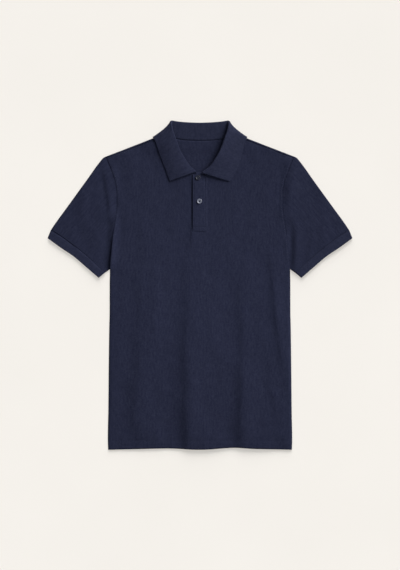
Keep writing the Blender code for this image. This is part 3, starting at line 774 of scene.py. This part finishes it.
def make_back(pique):
    """The back panel, with its shoulders rolled over onto the front."""
    shares = column_shares(22, 22, 5)
    plan = panel_plan(shares, BACK_NECK, 84, 76, BACK_HEM_SHORTER, FOLD_RADIUS)
    rows = [np.column_stack([row, lift(row[:, 0], row[:, 1])]) for row in plan]
    outline = top_edge(shares, BACK_NECK, 0.0)
    inward = shoulder_inward()
    move = paired(np.sign(shares) * inward[0], np.full_like(shares, inward[1]))
    roll = [(FOLD_RADIUS * (1 - math.cos(turn)), FOLD_RADIUS * (1 + math.sin(turn)))
            for turn in np.linspace(-0.5 * math.pi, 0.5 * math.pi, 13)[1:]]
    roll.append((SEAM_INSET - 0.0006, LOFT - 0.0001))
    roll.append((SEAM_INSET + 0.0002, LOFT - 0.0006))
    for inset, height in roll:
        row = outline + move * inset
        rows.append(np.column_stack([row, lift(row[:, 0], row[:, 1]) + height]))
    middle = np.abs(shares[:-1] + shares[1:]) / 2.0
    is_roll = np.arange(len(rows) - 1)[:, None] >= len(plan) - 1
    keep = ~is_roll | (middle[None, :] > NECK_SHARE)
    return cloth("back_panel", rows, pique, "back", keep=keep, flip=True)


def ring_stations(columns):
    """Once round a flattened tube: (share across it, angle round its rolled edge in degrees)."""
    across = even(columns + 1)[1:-1]
    angles = np.linspace(-75.0, 75.0, 9)
    outer = [(0.0, angle) for angle in angles]
    upper = [(share, 90.0) for share in across]
    inner = [(1.0, angle) for angle in angles[::-1]]
    lower = [(share, -90.0) for share in across[::-1]]
    return np.array(outer + upper + inner + lower)


def tube(plan, v, side, height):
    """Grid round a flattened tube; height(x, y) is the top of its upper layer."""
    stations = ring_stations(72)
    across, angle = stations[:, 0], np.radians(stations[:, 1])
    v = np.asarray(v, float)[:, None]
    reach = norm(plan(1.0, v[:, 0]) - plan(0.0, v[:, 0]), axis=-1)[:, None]
    inset = FOLD_RADIUS * (1 - np.cos(angle))[None, :] / reach
    at = np.clip(np.broadcast_to(across, inset.shape), inset, 1 - inset)
    points = plan(at, np.broadcast_to(v, at.shape)) * np.array([side, 1.0])
    z = height(points[..., 0], points[..., 1]) * 0.5 * (1.0 + np.sin(angle))[None, :]
    return np.dstack([points, z])


def sleeve_height(name, x, y):
    """Upper face of a sleeve, level with the front along the part of the armhole that lies flat."""
    z = LOFT + sum(flank_height(flank, x, y) for flank in SLEEVE_FLANKS[name])
    z = z + sum(ridge_height(ridge, x, y) for ridge in SLEEVE_RIDGES[name])
    z = z + slow_waves(x, y, WAVE_SEEDS[name]) * 1.2
    seam = np.sign(x) * armhole_x(y)
    joined = bell(armhole_distance(x, y), 1.0, SEAM_REACH) * ramp(*LEVEL_FROM[name], y)
    z = z + (front_height(seam, y) - SEAM_STEP[name] - z) * joined
    return np.maximum(z + 0.25 * groove(armhole_distance(x, y)), SLEEVE_LOWEST)


def make_sleeve(name, side, pique):
    v = np.concatenate([np.linspace(0.0, 0.05, 5)[:-1], np.linspace(0.05, 0.97, 42), [0.985, 1.0]])

    def height(x, y):
        return sleeve_height(name, x, y) + 0.5 * groove(cuff_seam_distance(x, y))

    points = tube(sleeve_plan, v, side, height)
    return cloth(f"sleeve_{name}_tube", points, pique, f"sleeve_{name}", ring=True, flip=side < 0)


def cuff_seam_distance(x, y):
    """Distance in plan from the line where the cuff is sewn on."""
    seam = along(CUFF_SEAM, even(301))
    apart = np.hypot(np.abs(x)[..., None] - seam[:, 0], y[..., None] - seam[:, 1])
    return apart.min(axis=-1)


def make_cuff(name, side, rib):
    def height(x, y):
        waves = slow_waves(x, y, WAVE_SEEDS["cuff"])
        return LOFT + CUFF_PROUD + groove(cuff_seam_distance(x, y)) * 0.9 + waves

    points = tube(cuff_plan, even(20), side, height)
    return cloth(f"cuff_{name}_band", points, rib, f"cuff_{name}", "rib", RIB_SHELL,
                 ring=True, flip=side < 0)


def collar_value(name, at, half):
    """One row of the collar's tables at a place along it, in metres, degrees or a share."""
    stations, values = COLLAR_HEIGHTS["at"], COLLAR_HEIGHTS.get(name)
    if values is None:
        stations = COLLAR_STATIONS + COLLAR_BACK["at"]
        values = COLLAR_FRONT[half][name] + COLLAR_BACK[name]
    return float(smooth(stations, values, at)) * COLLAR_UNITS.get(name, MM)


def neck_inward(at):
    """Unit vector in plan from the neckline into the neck opening."""
    curve, share = (FRONT_NECK, at) if at <= 1.0 else (BACK_NECK, 2.0 - at)
    low, high = along(curve, max(share - 0.02, 0.0)), along(curve, min(share + 0.02, 1.0))
    run = unit(high - low)
    return np.array([-run[1], run[0], 0.0])


def seam_point(at):
    """Where the stand is sewn to the body, on the right half."""
    if at <= 1.0:
        share = COLLAR_END_SHARE + (1 - COLLAR_END_SHARE) * at
        x, y = along(FRONT_NECK, share)
        front_z = LOFT + lift(x, y)
        back_z = lift(x, y) + BACK_TOP
        z = front_z + (back_z - front_z) * 0.5 * ramp(0.93, 1.0, at)
    else:
        share = at
        x, y = along(BACK_NECK, 2.0 - at)
        high = (LOFT + BACK_TOP) / 2.0 + lift(x, y)
        z = lift(x, y) + BACK_TOP - 0.0004
        z = z + (high - z) * (1 - ramp(1.0, 1.06, at))
    clear = SHOULDER_CLEARANCE * ramp(0.8, 0.95, at) * (1 - ramp(1.02, 1.15, at))
    return np.array([x - clear, y, z], float) + neck_inward(share) * 0.0006


def collar_section(at, half):
    """Points across the collar at one place: seam, stand, fold, fall, free edge."""
    seam = seam_point(at)
    fold = np.array([collar_value(f"fold_{axis}", at, half) for axis in "xyz"])
    edge = np.array([collar_value(f"edge_{axis}", at, half) for axis in "xyz"])
    radius = collar_value("radius", at, half)
    turn = math.radians(collar_value("turn", at, half))
    up = unit(fold - seam)
    outward = np.array(SHOULDER_OUTWARD) * math.sin(turn) + np.array([0.0, 0.0, math.cos(turn)])
    outward = unit(outward - up * outward.dot(up))
    opened = collar_value("open", at, half)
    rise = math.radians(COLLAR_RISE)
    away = unit((edge - fold) * np.array([1.0, 1.0, 0.0])) * math.cos(rise)
    away[2] = math.sin(rise)
    outward = unit(outward + opened * (unit(away - up * away.dot(up)) - outward))
    bent = math.pi + opened * (math.acos(away.dot(up)) - math.pi)
    bend = fold - up * radius
    points = [seam + (bend - seam) * t for t in even(STAND_POINTS)]
    centre = bend + outward * radius
    for angle in np.linspace(0.0, bent, BEND_POINTS + 1)[1:]:
        points.append(centre - outward * radius * math.cos(angle) + up * radius * math.sin(angle))
    fall = points[-1]
    leaving = outward * math.sin(bent) + up * math.cos(bent)
    handle = fall + leaving * collar_value("bulge", at, half) * norm(edge - fall)
    for t in (*np.linspace(0.0, 0.94, 26)[1:], 0.96, 0.975, 0.99, 1.0):
        points.append((1 - t) ** 2 * fall + 2 * t * (1 - t) * handle + t * t * edge)
    points = np.array(points)
    points[:, 2] = np.maximum(points[:, 2], RIB_SHELL / 2.0)
    return points


def collar_rows():
    """The collar's sections, from its left front end round the neck to its right one."""
    shoulder = np.linspace(0.9, 1.1, 30)[1:-1]
    stations = np.concatenate([np.linspace(0.0, 0.9, 54), shoulder, np.linspace(1.1, 2.0, 34)])
    right = [collar_section(at, "right") for at in stations]
    left = [collar_section(at, "left") * np.array([-1.0, 1.0, 1.0]) for at in stations[:-1]]
    return np.array(left + right[::-1])


def make_collar(rib):
    rows = collar_rows()
    falling = rows[:, STAND_POINTS + BEND_POINTS:]
    share = even(falling.shape[1])[None, :]
    facing_up = ramp(0.0068, 0.0078, falling[..., 2])
    sag = slow_waves(falling[..., 0], falling[..., 1], WAVE_SEEDS["collar"]) * 1.2
    falling[..., 2] += sag * facing_up * np.sin(math.pi * np.clip(share, 0.0, 0.8))
    columns = np.swapaxes(rows, 0, 1)
    return cloth("collar_knit", columns, rib, "collar", "rib", RIB_SHELL, 0.0, flip=True)


# ---- buttons ----

BUTTON_DIAMETER = 0.0115
# leans: which way and how far, in degrees. resin: name, darkest and lightest colour, gloss.
BUTTONS = {
    # The top button's resin colours are painted shade: far darker than the middle button's grey resin,
    # they stand in for the collar's shadow on the same kind of button.
    "button_top": {
        "place": (-0.0046, 0.2498), "leans": (90.0, 2.0), "slot": "button_navy",
        "resin": ("navy_resin", ((0.01, 0.012, 0.022), (0.02, 0.023, 0.036)), 0.2),
    },
    "button_middle": {
        "place": (-0.0014, 0.195), "leans": (20.0, 2.0), "slot": "button",
        "resin": ("grey_resin", ((0.098, 0.108, 0.147), (0.172, 0.188, 0.248)), 0.5),
    },
}
# Half section of a button from its middle to its rim and back underneath: radius, height, in mm.
BUTTON_SECTION = (
    (0, 1.45), (2.9, 1.45), (3.5, 1.6), (3.9, 1.95), (4.4, 2.25), (5, 2.3), (5.45, 2.05),
    (5.72, 1.55), (5.75, 1.05), (5.5, 0.55), (4.9, 0.2), (3.8, 0), (0, 0),
)
HOLE_SPREAD = 0.00125  # from the button's middle to a hole, across and down
HOLE_RADIUS = 0.001
HOLE_DEPTH = 0.006
THREAD_APART = 0.00042
THREAD_RADIUS = 0.00044


def turned(name, section, finish, sides=64):
    """A closed form turned round Z from a half section that starts and ends on the axis."""
    vertices, faces, rings = [], [], []
    for radius, height in section:
        around = sides if radius else 1
        rings.append(list(range(len(vertices), len(vertices) + around)))
        for turn in np.arange(around) * (math.tau / sides):
            across = (radius * MM * math.cos(turn), radius * MM * math.sin(turn))
            vertices.append((*across, height * MM))
    for upper, lower in zip(rings[:-1], rings[1:]):
        for k in range(sides):
            n = (k + 1) % sides
            corners = [upper[k % len(upper)], lower[k % len(lower)]]
            corners += [lower[n % len(lower)], upper[n % len(upper)]]
            faces.append(tuple(dict.fromkeys(corners)))
    return add_mesh(name, vertices, faces, finish)


def button_placement(button):
    """Matrix that takes a button from the origin to its place, leaning, on the placket."""
    x, y = button["place"]
    turn, lean = np.radians(button["leans"])
    foot = float(placket_height(np.array(x), np.array(y))) + 0.0002
    toward = Vector((math.cos(turn), math.sin(turn), 0.0))
    axis = Vector((0.0, 0.0, 1.0)).cross(toward)
    centre = Matrix.Translation((x, y, foot + 0.5 * BUTTON_DIAMETER * math.sin(lean)))
    return centre @ Quaternion(axis, lean).to_matrix().to_4x4()


def make_button(name, button, thread):
    """A button with four holes, and the two crossed pairs of threads that hold it."""
    centre = button_placement(button)
    piece = turned(name + "_disc", BUTTON_SECTION, resin_material(*button["resin"]))
    piece.data.transform(centre)
    for step_x, step_y in ((-1, -1), (-1, 1), (1, -1), (1, 1)):
        spot = centre @ Vector((step_x * HOLE_SPREAD, step_y * HOLE_SPREAD, 0.001))
        bpy.ops.mesh.primitive_cylinder_add(vertices=20, radius=HOLE_RADIUS, depth=HOLE_DEPTH,
                                            location=spot)
        hole = bpy.context.object
        cut = piece.modifiers.new("hole", "BOOLEAN")
        cut.operation = "DIFFERENCE"
        cut.object = hole
        bpy.context.view_layer.objects.active = piece
        bpy.ops.object.modifier_apply(modifier=cut.name)
        bpy.data.objects.remove(hole)
    piece.data.shade_smooth()
    piece.data.set_sharp_from_angle(angle=math.radians(40.0))
    settle(piece, button["slot"], name)
    paths = []
    t = np.linspace(-1.0, 1.0, 9)
    for cross in (-1.0, 1.0):
        for strand in (-THREAD_APART, THREAD_APART):
            rise = 0.0017 + 0.0004 * (1 - t ** 4) + 0.0002 * (cross + 1.0)
            local = [(at * HOLE_SPREAD + strand * cross, at * cross * HOLE_SPREAD - strand, up)
                     for at, up in zip(t, rise)]
            paths.append([tuple(centre @ Vector(point)) for point in local])
    sewing = stitches(name + "_thread", paths, thread, length=2.9 * HOLE_SPREAD, gap=0.0,
                      radius=THREAD_RADIUS, stations=9)
    return settle(sewing, "pique")


# ---- seams ----

def points_on(upper_face, x, y):
    return paired(x, y, upper_face(x, y))


def placket_paths():
    """Stitching down both sides of the placket, and the two rows across its foot."""
    y = np.linspace(BAND_FOOT + 0.0015, 0.2535, 160)
    x = np.linspace(BAND_LEFT + 0.0014, BAND_RIGHT - 0.0014, 24)
    down = [points_on(placket_height, np.full_like(y, place), y) for place in BAND_STITCHING]
    return down + [points_on(placket_height, x, np.full_like(x, row)) for row in BAND_ROWS]


def shoulder_paths():
    """Stitching along the body side of each shoulder seam and armhole."""
    paths = []
    tip, high = np.array(SHOULDER_TIP), np.array(SHOULDER_NECK)
    for side in (-1.0, 1.0):
        t = np.linspace(0.06, 0.97, 90)[:, None]
        row = high + (tip - high) * t + shoulder_inward() * (SEAM_INSET + SHOULDER_STITCHING)
        paths.append(points_on(front_surface, row[:, 0] * side, row[:, 1]))
        y = np.linspace(UNDERARM_Y + 0.01, ARMHOLE["y"][-1] - 0.008, 150)
        x = armhole_x(y) - ARMHOLE_STITCHING
        paths.append(points_on(front_surface, x * side, y))
    return paths


def hem_paths():
    """Two rows of stitching across the front, just below the edge of the hem's turning."""
    x = np.linspace(-0.2035, 0.2035, 420)
    foot = smooth(HEM["x"], HEM["y"], x) + HEM_DEPTH
    sunk = np.array([0.0, 0.0, HEM_STITCH_SINK])
    return [points_on(front_surface, x, foot - below) - sunk for below in HEM_ROWS]


def make_stitching(thread):
    """The stitching of the placket, of the shoulders and armholes, and of the hem."""
    rows = {"placket": placket_paths(), "armhole": shoulder_paths(), "hem": hem_paths()}
    return [settle(stitches(f"{name}_stitching", paths, thread), "pique")
            for name, paths in rows.items()]


# ---- light, floor and camera ----

CAMERA_DISTANCE = 3.0
PICTURE_HEIGHT = 1.3224  # metres of floor from the picture's foot to its top
CAMERA_Y = 0.0011
SENSOR_HEIGHT = 24.0  # mm
FLOOR_SIZE = 60.0
FLOOR_DROP = 0.0002
# Where each light comes from, its strength and the angle it covers, in degrees. The key light and
# the fill are kept off the floor, which has an even light and one that throws the shirt's shadow.
KEY_LIGHT = ((0.759, 0.651, 0.588), 5.05, 40.0)
FLOOR_SHADE = ((0.08, 1.0, 0.5), 2.75, 46.0)
FLOOR_LIGHT = ((0.0, 0.0, 1.0), 1.82, 10.0)
SKY_STRENGTH = 0.17
FILL_LIGHT = ((0.03, 0.04, 0.52), 0.5, 0.86)  # place, side in metres, watts


def make_stage():
    bpy.ops.mesh.primitive_grid_add(x_subdivisions=8, y_subdivisions=8, size=FLOOR_SIZE)
    floor = bpy.context.object
    floor.name = "floor_sheet"
    for vertex in floor.data.vertices:
        vertex.co.z = -FLOOR_DROP
    floor.data.materials.clear()
    floor.data.materials.append(floor_material())
    return floor


def add_light(name, kind, strength, **settings):
    lamp = bpy.data.lights.new(name, kind)
    lamp.energy = strength
    for key, value in settings.items():
        setattr(lamp, key, value)
    return add_object(name, lamp)


def soft_light(name, place, strength, spread):
    """A far light that shines from the direction of a place."""
    light = add_light(name, "SUN", strength, angle=math.radians(spread), color=(1.0, 0.985, 0.965))
    light.rotation_euler = Vector(place).to_track_quat("Z", "Y").to_euler()
    return light


def lights_floor(light, floor, only):
    """Keep a light off the floor, or on the floor only."""
    lit = bpy.data.collections.new(light.name + "_lit")
    lit.objects.link(floor)
    lit.collection_objects[0].light_linking.link_state = "INCLUDE" if only else "EXCLUDE"
    light.light_linking.receiver_collection = lit


def make_light(floor):
    world = bpy.data.worlds.new("studio")
    world.use_nodes = True
    sky = world.node_tree.nodes["Background"]
    look = [("Color", (0.97, 0.975, 1.0, 1.0)), ("Strength", SKY_STRENGTH)]
    set_inputs(world.node_tree, sky, look)
    bpy.context.scene.world = world
    lights_floor(soft_light("key_light", *KEY_LIGHT), floor, only=False)
    lights_floor(soft_light("floor_shade", *FLOOR_SHADE), floor, only=True)
    place, side, watts = FILL_LIGHT
    fill = add_light("fill_light", "AREA", watts, size=side)
    fill.location = place
    fill.visible_camera = False
    lights_floor(fill, floor, only=False)
    flat = soft_light("floor_light", *FLOOR_LIGHT)
    flat.data.use_shadow = False
    lights_floor(flat, floor, only=True)
    bpy.context.scene.view_settings.view_transform = "Standard"


def make_camera():
    lens = bpy.data.cameras.new("overhead")
    lens.sensor_fit = "VERTICAL"
    lens.sensor_height = SENSOR_HEIGHT
    lens.lens = SENSOR_HEIGHT * CAMERA_DISTANCE / PICTURE_HEIGHT
    lens.dof.use_dof = False
    camera = add_object("overhead", lens)
    camera.matrix_world = Matrix.Translation((0.0, CAMERA_Y, CAMERA_DISTANCE))
    bpy.context.scene.camera = camera


# ---- the shirt ----

def polygon_area(points):
    x, y = points[:, 0], points[:, 1]
    return 0.5 * abs(float(np.dot(x, np.roll(y, -1)) - np.dot(y, np.roll(x, -1))))


def outline_of(plan):
    """Points round the border of a plan given as rows."""
    return np.concatenate([plan[0], plan[1:, -1], plan[-1, -2::-1], plan[-2:0:-1, 0]])


def cut_of(outline, layers=1.0):
    """Width, length and area of the cloth that shows: the outline, once for each layer."""
    extent = np.ptp(outline, axis=0)
    width, length = float(extent[0]) * layers, float(extent[1])
    area = min(polygon_area(outline) * layers, width * length)
    return (round(width, 4), round(length, 4)), round(area, 5)


def body_cut(neck, hem_shorter):
    """Cut of a body panel out to its shoulder line."""
    shares = column_shares(12, 12, 4)
    return cut_of(outline_of(panel_plan(shares, neck, 12, 12, hem_shorter, 0.0)))


def tube_cut(plan):
    """Cut of a flattened tube, opened out round its upper edge."""
    steps = even(21)
    across, down = np.meshgrid(steps, steps)
    grid = plan(across, down)
    axis = unit(grid[-1, 0] - grid[0, 0])
    outline = outline_of(grid)
    return cut_of(paired(outline @ np.array([axis[1], -axis[0]]), outline @ axis), 2.0)


def grid_cut(points):
    """Cut of a piece made to shape: its longest row and column, and its own area."""
    right = np.diff(points, axis=1)
    down = np.diff(points, axis=0)
    width = norm(right, axis=-1).sum(axis=1).max()
    length = norm(down, axis=-1).sum(axis=0).max()
    area = norm(np.cross(right[:-1], down[:, :-1]), axis=-1).sum()
    return (round(float(width), 4), round(float(length), 4)), round(float(area), 5)


def main():
    pique = knit_material("navy_pique", pique_knit)
    rib = knit_material("navy_rib", rib_knit)
    thread = thread_material()
    front, back = make_front(pique), make_back(pique)
    band, under = make_placket(pique), make_under_placket(pique)
    collar = make_collar(rib)
    placket_sewing, armhole_sewing, hem_sewing = make_stitching(thread)
    for name, button in BUTTONS.items():
        make_button(name, button, thread)
    body_cut(FRONT_NECK, 0.0)
    body_cut(BACK_NECK, BACK_HEM_SHORTER)
    grid_cut(collar_rows())
    for name, side in (("left", -1.0), ("right", 1.0)):
        sleeve = make_sleeve(name, side, pique)
        cuff = make_cuff(name, side, rib)
        tube_cut(sleeve_plan)
        tube_cut(cuff_plan)
    make_light(make_stage())
    make_camera()


main()
